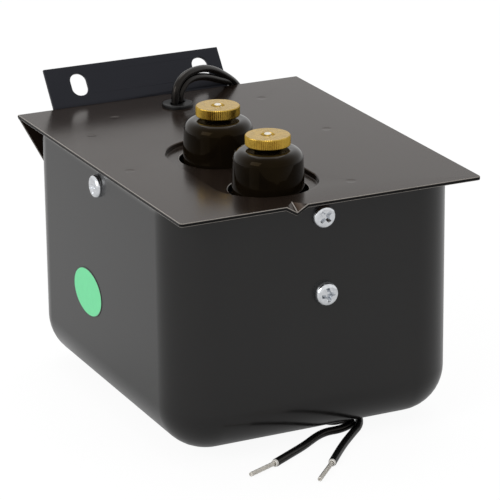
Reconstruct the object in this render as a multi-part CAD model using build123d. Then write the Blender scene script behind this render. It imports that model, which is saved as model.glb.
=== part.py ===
from build123d import *
import os
from math import atan, cos, degrees, radians, sin, tan

# Ignition transformer for an oil burner: a drawn steel can full of compound, closed by an
# overhanging cover plate with two porcelain high-voltage terminals and a pair of supply leads.
# Millimetres. +Z points out of the cover's face, +Y to the slotted bracket, +X to the right as
# the front is looked at. The origin is the centre of the cover plate's outer face.

# Cover plate: one bent blank with a shallow dish round the terminals
plate_w = 127.0
plate_d = 162.0
plate_t = 1.5
plate_corner_r = 1.5
bend_r = 2.0
rear_flange_h = 22.0
rear_flange_slant = 28.0
dish_mid_y = -26.3
dish_pitch = 41.4
dish_r = 20.9
dish_depth = 2.2
dish_edge_r = 0.7
dart_x = -14.8
dart_w = 11.4
dart_depth = 2.8
dart_run = 6.0

# Can: drawn cup, open at the top, with a flared rim under the plate
can_w = 122.4
can_d = 148.8
can_h = 100.3
can_wall = 1.2
can_corner_r = 20.0
can_bottom_r = 19.0
can_y = 2.9
flare_h = 3.4
flare_out = 1.1

# Terminals: porcelain, stud and thumb nut
terminal_x = -13.0
terminal_mid_y = -28.2
terminal_pitch = 45.0
bushing_r = 14.0
bushing_taper = 0.4
bushing_shoulder_r = 4.2
bushing_top = 14.0
bushing_bottom = -24.0
boss_r = 5.3
boss_h = 1.3
bushing_hole_gap = 1.6
stud_r = 1.75
stud_top = 20.2
stud_bottom = -29.0
thumb_nut_r = 8.75
thumb_nut_h = 4.1
terminal_nut_af = 7.0
terminal_nut_h = 3.0

# Slotted bracket on the rear flange
bracket_x0 = -48.0
bracket_x1 = 32.0
bracket_t = 1.5
bracket_leg = 16.0
bracket_rise = 18.0
bracket_lean = 37.0
bracket_bend_r = 3.5
slot_w = 8.0
slot_l = 10.0
slot_mid = 9.5
slot_x = (-34.0, 22.0)

# Tabs under the plate, core clamps and screws
tab_w = 22.0
tab_t = 1.5
tab_leg = 13.0
tab_drop = 16.5
screw_r = 2.4
screw_len = 7.0
screw_head_r = 4.7
screw_head_h = 2.3
clamp_head_r = 4.9
clamp_head_h = 3.2
front_screw_x = 0.8
front_screw_z = -9.8
side_screw_y = 6.5
side_screw_z = -10.1
clamp_screw_z = -40.3
clamp_w = 26.0
clamp_t = 2.0
clamp_up = 8.0

# Supply leads and their grommet
grommet_y = 62.4
grommet_hole_r = 5.0
grommet_flange_r = 6.5
grommet_top = 1.4
grommet_under = 1.9
grommet_round = 0.6
lead_d = 3.2
lead_gap = 0.2
lead_angle = 29.0
strip_len = 15.3
strip_d = 1.8

# Core and coils in the compound
core_w = 96.0
core_len = 120.0
core_stack = 24.0
core_limb_w = 14.0
centre_limb_w = 22.0
coil_half_w = 31.5
coil_corner_r = 8.0
coil_above = 8.0
coil_below = 7.6
primary_len = 26.0
secondary_len = 26.0
shunt_t = 5.0
tube_t = 1.2
ht_lead_d = 3.0
compound_level = -12.0

# Oval sticker on the left wall
label_y = 16.8
label_z = -58.0
label_w = 28.6
label_h = 20.0
label_t = 0.15

# Clearances between neighbours
fit_gap = 0.1
thread_gap = 0.05
room_gap = 0.2

can_top = -plate_t
can_bottom = can_top - can_h
terminal_y = (terminal_mid_y - terminal_pitch / 2, terminal_mid_y + terminal_pitch / 2)
bushing_hole_r = bushing_r + bushing_hole_gap
dish_under = -dish_depth - plate_t
floor_z = can_bottom - fit_gap - lead_d
lead_z = floor_z + lead_d / 2
coil_top = stud_bottom - coil_above
coil_half_h = (coil_top - can_bottom - can_wall - coil_below) / 2
core_z = coil_top - coil_half_h
core_top = core_z + core_stack / 2
window_w = core_w - 2 * core_limb_w
window_len = core_len - 2 * core_limb_w
wall_x = can_w / 2
front_y = can_y - can_d / 2
back_y = can_y + can_d / 2
plate_back = plate_d / 2
boss_top = bushing_top + boss_h


def lead_start(side, z=grommet_top):
    """A lead's axis over the grommet: side is -1 for the outer lead, 1 for the inner one."""
    reach = side * (lead_d + lead_gap) / 2
    x = reach * cos(radians(lead_angle))
    y = grommet_y + reach * sin(radians(lead_angle))
    return (x, y, z)


# The leads' routes, chosen by hand: up from the grommet, over the plate's back edge beside the
# bracket, down behind the can, flat under it, and out at the front.
lead_1_route = [
    lead_start(-1),
    lead_start(-1, 6.0),
    (0.6, 62.7, 10.0),
    (4.9, 65.0, 13.0),
    (12.8, 69.2, 13.8),
    (22.6, 74.6, 13.4),
    (31.4, 79.2, 11.6),
    (38.8, 83.6, 4.8),
    (42.2, 86.8, -6.5),
    (42.8, 87.8, -20.0),
    (41.0, 88.0, -41.0),
    (39.2, 87.2, -66.0),
    (37.6, 87.7, -90.6),
    (35.4, 77.6, lead_z),
    (31.0, 50.0, lead_z),
    (32.4, 16.0, lead_z),
    (28.0, -16.0, lead_z),
    (28.9, -42.0, lead_z),
    (23.2, -57.5, lead_z),
    (15.2, -66.0, lead_z),
    (5.2, -76.2, lead_z),
    (-4.4, -87.7, lead_z),
]
lead_2_route = [
    lead_start(1),
    lead_start(1, 4.2),
    (3.3, 64.2, 7.0),
    (6.8, 66.1, 8.8),
    (13.6, 69.8, 9.4),
    (22.5, 74.8, 8.4),
    (30.2, 79.4, 7.6),
    (34.9, 84.6, 2.4),
    (36.0, 86.3, -9.0),
    (36.6, 87.2, -24.0),
    (35.8, 86.6, -45.6),
    (33.2, 86.1, -69.0),
    (31.6, 86.8, -91.0),
    (28.8, 77.0, lead_z),
    (13.6, 55.0, lead_z),
    (-6.0, 30.0, lead_z),
    (-14.6, 2.0, lead_z),
    (-9.0, -17.0, lead_z),
    (5.0, -28.5, lead_z),
    (17.0, -35.5, lead_z),
    (20.9, -43.5, lead_z),
    (21.3, -50.5, lead_z),
    (19.5, -56.6, lead_z),
    (9.6, -57.6, lead_z),
    (2.8, -59.3, lead_z),
    (-6.8, -65.2, lead_z),
    (-16.0, -72.9, lead_z),
    (-23.8, -78.5, lead_z),
]


def corner_radii(points):
    """The largest easy radius at each inner point: 0.45 of the shorter run over tan(turn / 2)."""
    radii = []
    for before, at, after in zip(points, points[1:], points[2:]):
        run_in = Vector(*at) - Vector(*before)
        run_out = Vector(*after) - Vector(*at)
        turn = radians(run_in.get_angle(run_out))
        radii.append(0.45 * min(run_in.length, run_out.length) / tan(turn / 2))
    return radii


def wire_tube(points, radius):
    """A round solid along straight runs joined by tangent arcs."""
    path = FilletPolyline(*points, radius=corner_radii(points))
    return sweep((path ^ 0) * Circle(radius), path=path)


def rounded_block(width, depth, corner, z0, z1, y=0.0):
    return extrude(Pos(0, y, z0) * RectangleRounded(width, depth, corner), z1 - z0)


def dish_prism(radius, z0, z1):
    """The obround outline of the dish, upright between two heights."""
    outline = Rot(Z=90) * SlotCenterToCenter(dish_pitch, 2 * radius)
    return extrude(Pos(terminal_x, dish_mid_y, z0) * outline, z1 - z0)


def dart_wedge(drop):
    """The pyramid pressed into the front edge, pointing back into the plate."""
    front = -plate_d / 2
    section = Plane(origin=(dart_x, front, drop), x_dir=(1, 0, 0), z_dir=(0, -1, 0))
    outline = make_face(
        section * Polyline((-dart_w / 2, 0), (dart_w / 2, 0), (0, -dart_depth), close=True)
    )
    return loft([outline, Vertex(dart_x, front + dart_run, drop)])


def cover_plate():
    # flat plate and rear flange, bent from one sheet
    plate = Pos(0, 0, -plate_t / 2) * Box(plate_w, plate_d, plate_t)
    flange = Pos(0, plate_back - plate_t / 2, -rear_flange_h / 2) * Box(
        plate_w, plate_t, rear_flange_h
    )
    body = plate + flange
    body = fillet(body.edges().sort_by_distance((0, plate_back, 0))[0], bend_r)
    inner = body.edges().filter_by(Axis.X).sort_by_distance((0, plate_back - plate_t, -plate_t))
    body = fillet(inner[0], bend_r - plate_t)
    front = body.edges().filter_by(Axis.Z).sort_by(Axis.Y)[:2]
    body = fillet(front, plate_corner_r)
    # slanted ends of the rear flange
    inset = rear_flange_h * tan(radians(rear_flange_slant))
    for side in (-1, 1):
        edge = side * plate_w / 2
        corner = Polyline(
            (edge, -plate_t),
            (edge + side, -plate_t),
            (edge + side, -rear_flange_h - 1),
            (edge - side * inset, -rear_flange_h - 1),
            (edge - side * inset, -rear_flange_h),
            close=True,
        )
        waste = extrude(Plane.XZ * make_face(corner), -2 * plate_t)
        body -= Pos(0, plate_back - plate_t, 0) * waste
    # dish, pressed down round the two terminals
    body += dish_prism(dish_r + plate_t, dish_under, -plate_t)
    body -= dish_prism(dish_r, -dish_depth, 0)
    rim = body.faces().sort_by(Axis.Z)[-1].inner_wires()[0].edges()
    body = fillet(rim, dish_edge_r)
    under = body.edges().filter_by_position(Axis.Z, dish_under - 0.01, dish_under + 0.01)
    body = fillet(under.filter_by_position(Axis.Y, -plate_d / 2, plate_back - 5), dish_edge_r + 0.6)
    # dart in the front edge, close to the terminals' line
    body += dart_wedge(-plate_t)
    body -= dart_wedge(0)
    for y in terminal_y:
        body -= Pos(terminal_x, y, -dish_depth) * Cylinder(bushing_hole_r, 4 * plate_t)
    body -= Pos(0, grommet_y, 0) * Cylinder(grommet_hole_r, 4 * plate_t)
    return body


def mount_bracket():
    # strip welded to the rear flange, its upper leg leaning back with two slots
    width = bracket_x1 - bracket_x0
    mid_x = (bracket_x0 + bracket_x1) / 2
    lower = Pos(mid_x, plate_back + bracket_t / 2, -bracket_leg / 2) * Box(
        width, bracket_t, bracket_leg
    )
    lean = Pos(0, plate_back, 0) * Rot(X=-bracket_lean)
    upper = lean * Pos(mid_x, bracket_t / 2, bracket_rise / 2) * Box(
        width, bracket_t, bracket_rise
    )
    body = lower + upper
    along = body.edges().filter_by(Axis.X)
    body = fillet(along.sort_by_distance((mid_x, plate_back, 0))[0], bracket_bend_r)
    hollow = (mid_x, plate_back + bracket_t, -bracket_t * tan(radians(bracket_lean / 2)))
    along = body.edges().filter_by(Axis.X)
    body = fillet(along.sort_by_distance(hollow)[0], bracket_bend_r - bracket_t)
    for x in slot_x:
        outline = Plane.XZ * Rot(Z=90) * SlotOverall(slot_l, slot_w)
        cutter = extrude(outline, 3 * bracket_t, both=True)
        body -= lean * Pos(x, bracket_t / 2, slot_mid) * cutter
    return body


def can_solid(inset):
    """The cup's outer form, or its inside when inset by the wall."""
    width = can_w - 2 * inset
    depth = can_d - 2 * inset
    corner = can_corner_r - inset
    floor = can_bottom + inset
    neck = can_top - flare_h
    body = rounded_block(width, depth, corner, floor, neck, can_y)
    base = body.faces().sort_by(Axis.Z)[0].edges()
    body = fillet(base, can_bottom_r - inset)
    flare = Pos(0, can_y, neck) * RectangleRounded(width, depth, corner)
    return body + extrude(flare, flare_h, taper=-degrees(atan(flare_out / flare_h)))


def can():
    body = can_solid(0) - can_solid(can_wall)
    hole_r = screw_r + fit_gap
    drill = Cylinder(hole_r, 6 * can_wall)
    for y in (front_y, back_y):
        body -= Pos(front_screw_x, y, clamp_screw_z) * Rot(X=90) * drill
    body -= Pos(front_screw_x, front_y, front_screw_z) * Rot(X=90) * drill
    for x in (-wall_x, wall_x):
        body -= Pos(x, side_screw_y, side_screw_z) * Rot(Y=90) * drill
    # room for the cover's dish, should it come near the rim
    return body - dish_prism(dish_r + plate_t + room_gap, dish_under - room_gap, 1)


def side_tab(side):
    """An angle under the plate, inside the left or right wall, tapped for its screw."""
    outer = wall_x - can_wall - fit_gap
    drop = Pos(outer - tab_t / 2, side_screw_y, can_top - tab_drop / 2)
    body = drop * Box(tab_t, tab_w, tab_drop)
    leg = Pos(outer - tab_leg / 2, side_screw_y, can_top - tab_t / 2)
    body += leg * Box(tab_leg, tab_w, tab_t)
    inner = body.edges().filter_by(Axis.Y).sort_by_distance(
        (outer - tab_t, side_screw_y, can_top - tab_t)
    )
    body = fillet(inner[0], 1.5)
    hole = Rot(Y=90) * Cylinder(screw_r + thread_gap, 4 * tab_t)
    body -= Pos(outer, side_screw_y, side_screw_z) * hole
    return body if side > 0 else mirror(body, Plane.YZ)


def front_tab():
    # this one hangs beside the dish, with its tapped part reaching under the dish's edge
    outer = front_y + can_wall + fit_gap
    free_x = terminal_x + dish_r + plate_t + room_gap
    left = front_screw_x - 2.5 * screw_r
    right = free_x + tab_w / 2
    below = dish_under - room_gap
    low = can_top - tab_drop
    y = outer + tab_t / 2
    lower = Pos((left + right) / 2, y, (low + below) / 2) * Box(right - left, tab_t, below - low)
    upper = Pos((free_x + right) / 2, y, (low + can_top) / 2) * Box(
        right - free_x, tab_t, can_top - low
    )
    leg = Pos((free_x + right) / 2, outer + tab_leg / 2, can_top - tab_t / 2) * Box(
        right - free_x, tab_leg, tab_t
    )
    body = lower + upper + leg
    hole = Rot(X=90) * Cylinder(screw_r + thread_gap, 4 * tab_t)
    return body - Pos(front_screw_x, outer, front_screw_z) * hole


def pan_screw(head_r, head_h, length):
    """A pan-head screw along -Z, with the head's flat underside at the origin."""
    head = Cylinder(head_r, head_h, align=(Align.CENTER, Align.CENTER, Align.MIN))
    head = fillet(head.edges().sort_by(Axis.Z)[-1], head_h * 0.62)
    shank = Cylinder(screw_r, length, align=(Align.CENTER, Align.CENTER, Align.MAX))
    return head + chamfer(shank.edges().sort_by(Axis.Z)[0], 0.5)


def cover_screws():
    screw = pan_screw(screw_head_r, screw_head_h, screw_len)
    front = Pos(front_screw_x, front_y, front_screw_z) * Rot(X=90) * screw
    left = Pos(-wall_x, side_screw_y, side_screw_z) * Rot(Y=-90) * screw
    right = Pos(wall_x, side_screw_y, side_screw_z) * Rot(Y=90) * screw
    return Compound(children=[front, left, right])


def clamp_screws():
    screw = pan_screw(clamp_head_r, clamp_head_h, screw_len)
    front = Pos(front_screw_x, front_y, clamp_screw_z) * Rot(X=90) * screw
    back = Pos(front_screw_x, back_y, clamp_screw_z) * Rot(X=-90) * screw
    return Compound(children=[front, back])


def core_clamp(side):
    """An angle from the can's wall to the top of the core, tapped for the lower screw."""
    wall_y = (can_d / 2 - can_wall - fit_gap) * side
    top = clamp_screw_z + clamp_up
    height = top - core_top
    upright = Pos(front_screw_x, can_y + wall_y - side * clamp_t / 2, core_top + height / 2)
    body = upright * Box(clamp_w, clamp_t, height)
    reach = can_d / 2 - can_wall - fit_gap - (core_len / 2 - core_limb_w) - 1
    leg = Pos(front_screw_x, can_y + wall_y - side * reach / 2, core_top + clamp_t / 2)
    body += leg * Box(clamp_w, reach, clamp_t)
    hole = Rot(X=90) * Cylinder(screw_r + thread_gap, 4 * clamp_t)
    return body - Pos(front_screw_x, can_y + wall_y, clamp_screw_z) * hole


def bushing(y):
    # turned porcelain: tapered body, round shoulder, small boss and a bore for the stud
    top_r = bushing_r - bushing_taper
    shoulder = bushing_top - bushing_shoulder_r
    flat_r = top_r - bushing_shoulder_r
    bore = stud_r + 2 * fit_gap
    outline = [
        Line((bore, bushing_bottom), (bushing_r, bushing_bottom)),
        Line((bushing_r, bushing_bottom), (bushing_r, -dish_depth)),
        Line((bushing_r, -dish_depth), (top_r, shoulder)),
        RadiusArc((top_r, shoulder), (flat_r, bushing_top), -bushing_shoulder_r),
        Line((flat_r, bushing_top), (boss_r + 0.6, bushing_top)),
        Line((boss_r + 0.6, bushing_top), (boss_r, bushing_top + 0.5)),
        Line((boss_r, bushing_top + 0.5), (boss_r, boss_top)),
        Line((boss_r, boss_top), (bore, boss_top)),
        Line((bore, boss_top), (bore, bushing_bottom)),
    ]
    return Pos(terminal_x, y, 0) * revolve(Plane.XZ * make_face(outline), Axis.Z)


def terminal_stud(y):
    body = Pos(0, 0, stud_bottom) * Cylinder(
        stud_r, stud_top - stud_bottom, align=(Align.CENTER, Align.CENTER, Align.MIN)
    )
    return Pos(terminal_x, y, 0) * chamfer(body.edges().sort_by(Axis.Z)[-1], 0.4)


def thumb_nut(y):
    # flat round nut that clamps the electrode's strap, countersunk at the top
    body = Cylinder(thumb_nut_r, thumb_nut_h, align=(Align.CENTER, Align.CENTER, Align.MIN))
    body = chamfer(body.edges(), 0.35)
    body -= Cylinder(stud_r + thread_gap, 3 * thumb_nut_h)
    body = chamfer(body.edges().filter_by(GeomType.CIRCLE).sort_by(Axis.Z)[-1:], 0.9)
    return Pos(terminal_x, y, boss_top) * body


def terminal_nuts():
    nut = extrude(RegularPolygon(terminal_nut_af / 2, 6, major_radius=False), -terminal_nut_h)
    nut -= Cylinder(stud_r + thread_gap, 4 * terminal_nut_h)
    return Compound(children=[Pos(terminal_x, y, bushing_bottom) * nut for y in terminal_y])


def lead_grommet():
    # rubber ring snapped into the plate, with one slot that holds both leads
    neck_r = grommet_hole_r - fit_gap
    flange = Cylinder(grommet_flange_r, grommet_top, align=(Align.CENTER, Align.CENTER, Align.MIN))
    flange = fillet(flange.edges().sort_by(Axis.Z)[-1], grommet_round)
    neck = Pos(0, 0, -plate_t / 2) * Cylinder(neck_r, plate_t)
    skirt = Pos(0, 0, -plate_t) * Cylinder(
        grommet_flange_r, grommet_under, align=(Align.CENTER, Align.CENTER, Align.MAX)
    )
    skirt = fillet(skirt.edges().sort_by(Axis.Z)[0], grommet_round)
    body = flange + neck + skirt
    pitch = lead_d + lead_gap
    slot = Rot(Z=lead_angle) * SlotCenterToCenter(pitch, lead_d + 2 * thread_gap)
    body -= extrude(slot, 12, both=True)
    return Pos(0, grommet_y, 0) * body


def free_lead(route):
    return wire_tube(route, lead_d / 2)


def tinned_end(route):
    """The stripped, tinned strands past the end of a lead's insulation."""
    last = Vector(*route[-1])
    heading = (last - Vector(*route[-2])).normalized()
    return extrude(Plane(origin=last, z_dir=heading) * Circle(strip_d / 2), strip_len)


def tail_route(side):
    """From the grommet's top down, forwards under the bushings and into the primary coil."""
    x, y, z = lead_start(side)
    turn = coil_top + lead_d * (1.2 if side > 0 else 2.4)
    end = can_y + side * lead_d
    return [(x, y, z), (x, y, turn), (x, end, turn), (x, end, coil_top)]


def ht_route(place):
    """From the foot of a terminal's stud into the secondary coil under or behind it."""
    y = terminal_y[place]
    step = primary_len / 2 + shunt_t + secondary_len / 2
    end_y = can_y + (step if place else -step)
    mid = (stud_bottom + coil_top) / 2
    return [
        (terminal_x, y, stud_bottom),
        (terminal_x, y, mid),
        (terminal_x, end_y, mid),
        (terminal_x, end_y, coil_top),
    ]


def inner_wire(points, diameter):
    """A wire with small bends inside the can."""
    path = FilletPolyline(*points, radius=0.6 * diameter)
    return sweep((path ^ 0) * Circle(diameter / 2), path=path)


def wire_room(points, diameter):
    """Square channels along the same route, a little wider than the wire."""
    width = diameter + 2 * room_gap
    room = []
    for a, b in zip(points, points[1:]):
        size = [abs(q - p) + width for p, q in zip(a, b)]
        middle = [(p + q) / 2 for p, q in zip(a, b)]
        room.append(Pos(*middle) * Box(*size))
    return room


def lead_tails():
    return Compound(children=[inner_wire(tail_route(side), lead_d) for side in (-1, 1)])


def ht_leads():
    return Compound(children=[inner_wire(ht_route(place), ht_lead_d) for place in (0, 1)])


def at_core(shape):
    return Pos(0, can_y, core_z) * shape


def core_frame():
    ring = Box(core_w, core_len, core_stack) - Box(window_w, window_len, 2 * core_stack)
    return at_core(ring)


def centre_limb():
    return at_core(Box(centre_limb_w, window_len, core_stack))


def limb_tube():
    hole_w = centre_limb_w + 2 * fit_gap
    hole_h = core_stack + 2 * fit_gap
    length = window_len - 2 * fit_gap
    body = Box(hole_w + 2 * tube_t, length, hole_h + 2 * tube_t)
    return at_core(body - Box(hole_w, 2 * length, hole_h))


def coil(length, y):
    outline = RectangleRounded(2 * coil_half_w, 2 * coil_half_h, coil_corner_r)
    body = extrude(Plane.XZ * outline, length / 2, both=True)
    hole_w = centre_limb_w + 2 * tube_t + 4 * fit_gap
    hole_h = core_stack + 2 * tube_t + 4 * fit_gap
    body -= Box(hole_w, 2 * length, hole_h)
    return at_core(Pos(0, y, 0) * body)


def secondary_y():
    return primary_len / 2 + shunt_t + 4 * fit_gap + secondary_len / 2


def shunts():
    inner = centre_limb_w / 2 + tube_t + 3 * fit_gap
    outer = window_w / 2 - fit_gap
    place = primary_len / 2 + 2 * fit_gap + shunt_t / 2
    block = Box(outer - inner, shunt_t, core_stack)
    mid = (inner + outer) / 2
    return Compound(
        children=[
            at_core(Pos(sx * mid, sy * place, 0) * block) for sx in (-1, 1) for sy in (-1, 1)
        ]
    )


def potting_compound():
    # poured round everything, so each piece has its own room in it
    body = can_solid(can_wall + fit_gap)
    body &= rounded_block(can_w, can_d, 1, can_bottom, compound_level, can_y)
    grow = 2 * room_gap
    body -= at_core(Box(core_w + grow, core_len + grow, core_stack + grow))
    body -= at_core(Box(2 * coil_half_w + grow, window_len + grow, 2 * coil_half_h + grow))
    outer = wall_x - can_wall
    room = Box(2 * tab_t + grow, tab_w + grow, 2 * tab_drop + grow)
    for side in (-1, 1):
        body -= Pos(side * outer, side_screw_y, can_top) * room
        drill = Rot(Y=90) * Cylinder(screw_r + room_gap, 2 * screw_len + grow)
        body -= Pos(side * wall_x, side_screw_y, side_screw_z) * drill
    free_x = terminal_x + dish_r + plate_t + room_gap
    left = front_screw_x - 2.5 * screw_r - room_gap
    right = free_x + tab_w / 2 + room_gap
    front_inner = front_y + can_wall
    body -= Pos((left + right) / 2, front_inner, can_top) * Box(
        right - left, 2 * tab_t + grow, 2 * tab_drop + grow
    )
    body -= (
        Pos(front_screw_x, front_y, front_screw_z)
        * Rot(X=90)
        * Cylinder(screw_r + room_gap, 2 * screw_len + grow)
    )
    reach = can_d / 2 - can_wall - (core_len / 2 - core_limb_w) - 1
    height = clamp_screw_z + clamp_up - core_top
    for side in (-1, 1):
        wall = can_y + side * (can_d / 2 - can_wall)
        place = Pos(front_screw_x, wall, core_top)
        body -= place * Box(clamp_w + grow, 2 * clamp_t + grow, 2 * height + grow)
        body -= place * Box(clamp_w + grow, 2 * reach + grow, 2 * clamp_t + grow)
        body -= (
            Pos(front_screw_x, can_y + side * can_d / 2, clamp_screw_z)
            * Rot(X=90)
            * Cylinder(screw_r + room_gap, 2 * screw_len + grow)
        )
    for y in terminal_y:
        foot = Pos(terminal_x, y, bushing_bottom - room_gap)
        up = (Align.CENTER, Align.CENTER, Align.MIN)
        body -= foot * Cylinder(bushing_r + room_gap, 40, align=up)
        stem = Pos(terminal_x, y, stud_bottom - room_gap)
        body -= stem * Cylinder(terminal_nut_af * 0.6 + room_gap, 20, align=up)
    for side in (-1, 1):
        for room in wire_room(tail_route(side), lead_d):
            body -= room
    for place in (0, 1):
        for room in wire_room(ht_route(place), ht_lead_d):
            body -= room
    return body


def oval_label():
    face = Plane.YZ * Ellipse(label_w / 2, label_h / 2)
    return Pos(-wall_x, label_y, label_z) * extrude(face, -label_t)


os.makedirs("parts", exist_ok=True)
step = secondary_y()
parts = {
    "can": can(),
    "cover_plate": cover_plate(),
    "mount_bracket": mount_bracket(),
    "cover_tab_front": front_tab(),
    "cover_tab_left": side_tab(-1),
    "cover_tab_right": side_tab(1),
    "cover_screws": cover_screws(),
    "clamp_screws": clamp_screws(),
    "core_clamp_front": core_clamp(-1),
    "core_clamp_back": core_clamp(1),
    "bushing_front": bushing(terminal_y[0]),
    "bushing_back": bushing(terminal_y[1]),
    "terminal_stud_front": terminal_stud(terminal_y[0]),
    "terminal_stud_back": terminal_stud(terminal_y[1]),
    "thumb_nut_front": thumb_nut(terminal_y[0]),
    "thumb_nut_back": thumb_nut(terminal_y[1]),
    "terminal_nuts": terminal_nuts(),
    "lead_grommet": lead_grommet(),
    "lead_1": free_lead(lead_1_route),
    "lead_2": free_lead(lead_2_route),
    "lead_end_1": tinned_end(lead_1_route),
    "lead_end_2": tinned_end(lead_2_route),
    "lead_tails": lead_tails(),
    "core_frame": core_frame(),
    "core_limb": centre_limb(),
    "limb_tube": limb_tube(),
    "primary_coil": coil(primary_len, 0),
    "secondary_coil_front": coil(secondary_len, -step),
    "secondary_coil_back": coil(secondary_len, step),
    "shunts": shunts(),
    "ht_leads": ht_leads(),
    "potting_compound": potting_compound(),
    "oval_label": oval_label(),
}
for name, shape in parts.items():
    export_step(shape, f"parts/{name}.step")

for name, route in (("lead_1", lead_1_route), ("lead_2", lead_2_route)):
    radii = corner_radii(route)
    path = FilletPolyline(*route, radius=radii)
    section = Circle(lead_d / 2).area
    print(name, "length", round(path.length, 1), "smallest radius", round(min(radii), 1))
    print(name, "radii", [round(r, 1) for r in radii])
    print(name, "volume over section x length", round(parts[name].volume / section / path.length, 4))
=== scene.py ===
import bmesh
import bpy
from math import cos, hypot, pi, radians, sin, tan
from mathutils import Matrix, Vector


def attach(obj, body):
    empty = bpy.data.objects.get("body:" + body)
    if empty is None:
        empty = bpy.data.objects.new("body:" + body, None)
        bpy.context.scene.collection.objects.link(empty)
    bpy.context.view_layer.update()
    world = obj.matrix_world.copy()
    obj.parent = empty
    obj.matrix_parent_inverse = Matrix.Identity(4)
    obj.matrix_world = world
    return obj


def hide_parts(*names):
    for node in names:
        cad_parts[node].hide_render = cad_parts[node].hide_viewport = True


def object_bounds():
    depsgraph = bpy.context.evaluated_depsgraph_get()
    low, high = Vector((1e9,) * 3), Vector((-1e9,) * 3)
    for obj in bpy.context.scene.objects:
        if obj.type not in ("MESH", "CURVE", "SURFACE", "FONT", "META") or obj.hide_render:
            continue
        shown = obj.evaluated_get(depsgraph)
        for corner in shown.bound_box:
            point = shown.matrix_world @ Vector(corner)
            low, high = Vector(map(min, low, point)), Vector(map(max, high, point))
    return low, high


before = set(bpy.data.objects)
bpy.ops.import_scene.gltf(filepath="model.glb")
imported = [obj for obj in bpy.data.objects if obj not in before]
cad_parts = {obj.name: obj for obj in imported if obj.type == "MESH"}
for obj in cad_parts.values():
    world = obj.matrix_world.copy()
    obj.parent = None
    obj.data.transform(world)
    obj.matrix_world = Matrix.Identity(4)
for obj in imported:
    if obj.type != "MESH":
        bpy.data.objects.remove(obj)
cad_low, cad_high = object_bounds()

# Studio
# A white table under an even white surround, as for a catalogue picture. One broad soft lamp hangs
# to the left and one above. The camera sees the table glow nearly white, and mirrored rays see much
# less of that glow, so the table looks darker in the part than it does in the picture.
mm = 0.001


def linear(hex_colour):
    """A linear RGBA colour from an sRGB hex value such as "#1c1b1b"."""
    parts = [int(hex_colour[i:i + 2], 16) / 255 for i in (1, 3, 5)]
    return [c / 12.92 if c <= 0.04045 else ((c + 0.055) / 1.055) ** 2.4 for c in parts] + [1.0]


def add_node(tree, kind, inputs=None, **settings):
    """Adds a node, sets its own options, and sets or links its inputs."""
    node = tree.nodes.new("ShaderNode" + kind)
    for name, value in settings.items():
        setattr(node, name, value)
    for name, value in (inputs or {}).items():
        if isinstance(value, bpy.types.NodeSocket):
            tree.links.new(value, node.inputs[name])
        else:
            node.inputs[name].default_value = value
    return node


def new_material(name):
    """An empty node material and its Principled shader, already joined to the output."""
    material = bpy.data.materials.new(name)
    material.use_nodes = True
    tree = material.node_tree
    return material, tree, tree.nodes["Principled BSDF"]


def new_piece(name, bm, material):
    """Makes a bmesh an object at the origin."""
    mesh = bpy.data.meshes.new(name)
    bm.to_mesh(mesh)
    bm.free()
    piece = bpy.data.objects.new(name, mesh)
    bpy.context.collection.objects.link(piece)
    mesh.materials.append(material)
    return piece


floor_z = cad_low[2]
camera_yaw = radians(25.413)
camera_lift = radians(18.9727)
camera_roll = radians(-0.5996)
camera_distance = 1167.364 * mm
aim_right = 3.2551 * mm
aim_up = -42.2899 * mm

back = Vector((-sin(camera_yaw) * cos(camera_lift), -cos(camera_yaw) * cos(camera_lift), sin(camera_lift)))
level_right = Vector((cos(camera_yaw), -sin(camera_yaw), 0))
level_up = back.cross(level_right)
right = cos(camera_roll) * level_right + sin(camera_roll) * level_up
up = cos(camera_roll) * level_up - sin(camera_roll) * level_right
place = camera_distance * back + aim_right * right + aim_up * up

camera_data = bpy.data.cameras.new("camera")
camera_data.sensor_width = 36.0
camera_data.lens = 210.52
camera = bpy.data.objects.new("camera", camera_data)
camera.matrix_world = Matrix((right, up, back)).transposed().to_4x4()
camera.location = place
bpy.context.collection.objects.link(camera)
bpy.context.scene.camera = camera
bpy.context.scene.view_settings.view_transform = "Standard"

world = bpy.data.worlds.new("white_surround")
world.use_nodes = True
bpy.context.scene.world = world
sky = world.node_tree
sky.nodes.clear()
rays = add_node(sky, "LightPath")
seen = add_node(
    sky, "Math", {0: rays.outputs["Is Camera Ray"], 1: rays.outputs["Is Glossy Ray"]}, operation="MAXIMUM"
)
seen = add_node(
    sky, "Math", {0: seen.outputs[0], 1: rays.outputs["Is Transmission Ray"]}, operation="MAXIMUM"
)
fill = add_node(sky, "Background", {"Color": linear("#ffffff"), "Strength": 0.6})
shown = add_node(sky, "Background", {"Color": linear("#ffffff"), "Strength": 1.0})
mixed = add_node(sky, "MixShader", {0: seen.outputs[0], 1: fill.outputs[0], 2: shown.outputs[0]})
add_node(sky, "OutputWorld", {"Surface": mixed.outputs[0]})

bm = bmesh.new()
bmesh.ops.create_grid(bm, x_segments=1, y_segments=1, size=2.5)
bmesh.ops.translate(bm, verts=bm.verts, vec=(0, 0, floor_z))
table_paper, tree, shader = new_material("white_paper_table")
tree.nodes.remove(shader)
rays = add_node(tree, "LightPath")
seen_glow = 0.88
mirrored_glow = 0.25
mirrored = add_node(
    tree, "Math", {0: rays.outputs["Is Glossy Ray"], 1: rays.outputs["Is Transmission Ray"]},
    operation="MAXIMUM",
)
mirrored = add_node(tree, "Math", {0: mirrored.outputs[0], 1: mirrored_glow}, operation="MULTIPLY")
share = add_node(
    tree, "Math", {0: rays.outputs["Is Camera Ray"], 1: seen_glow, 2: mirrored.outputs[0]},
    operation="MULTIPLY_ADD",
)
paper = add_node(tree, "BsdfDiffuse", {"Color": linear("#dedede")})
glow = add_node(tree, "Emission", {"Color": linear("#ffffff"), "Strength": 1.06})
mixed = add_node(tree, "MixShader", {0: share.outputs[0], 1: paper.outputs[0], 2: glow.outputs[0]})
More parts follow.
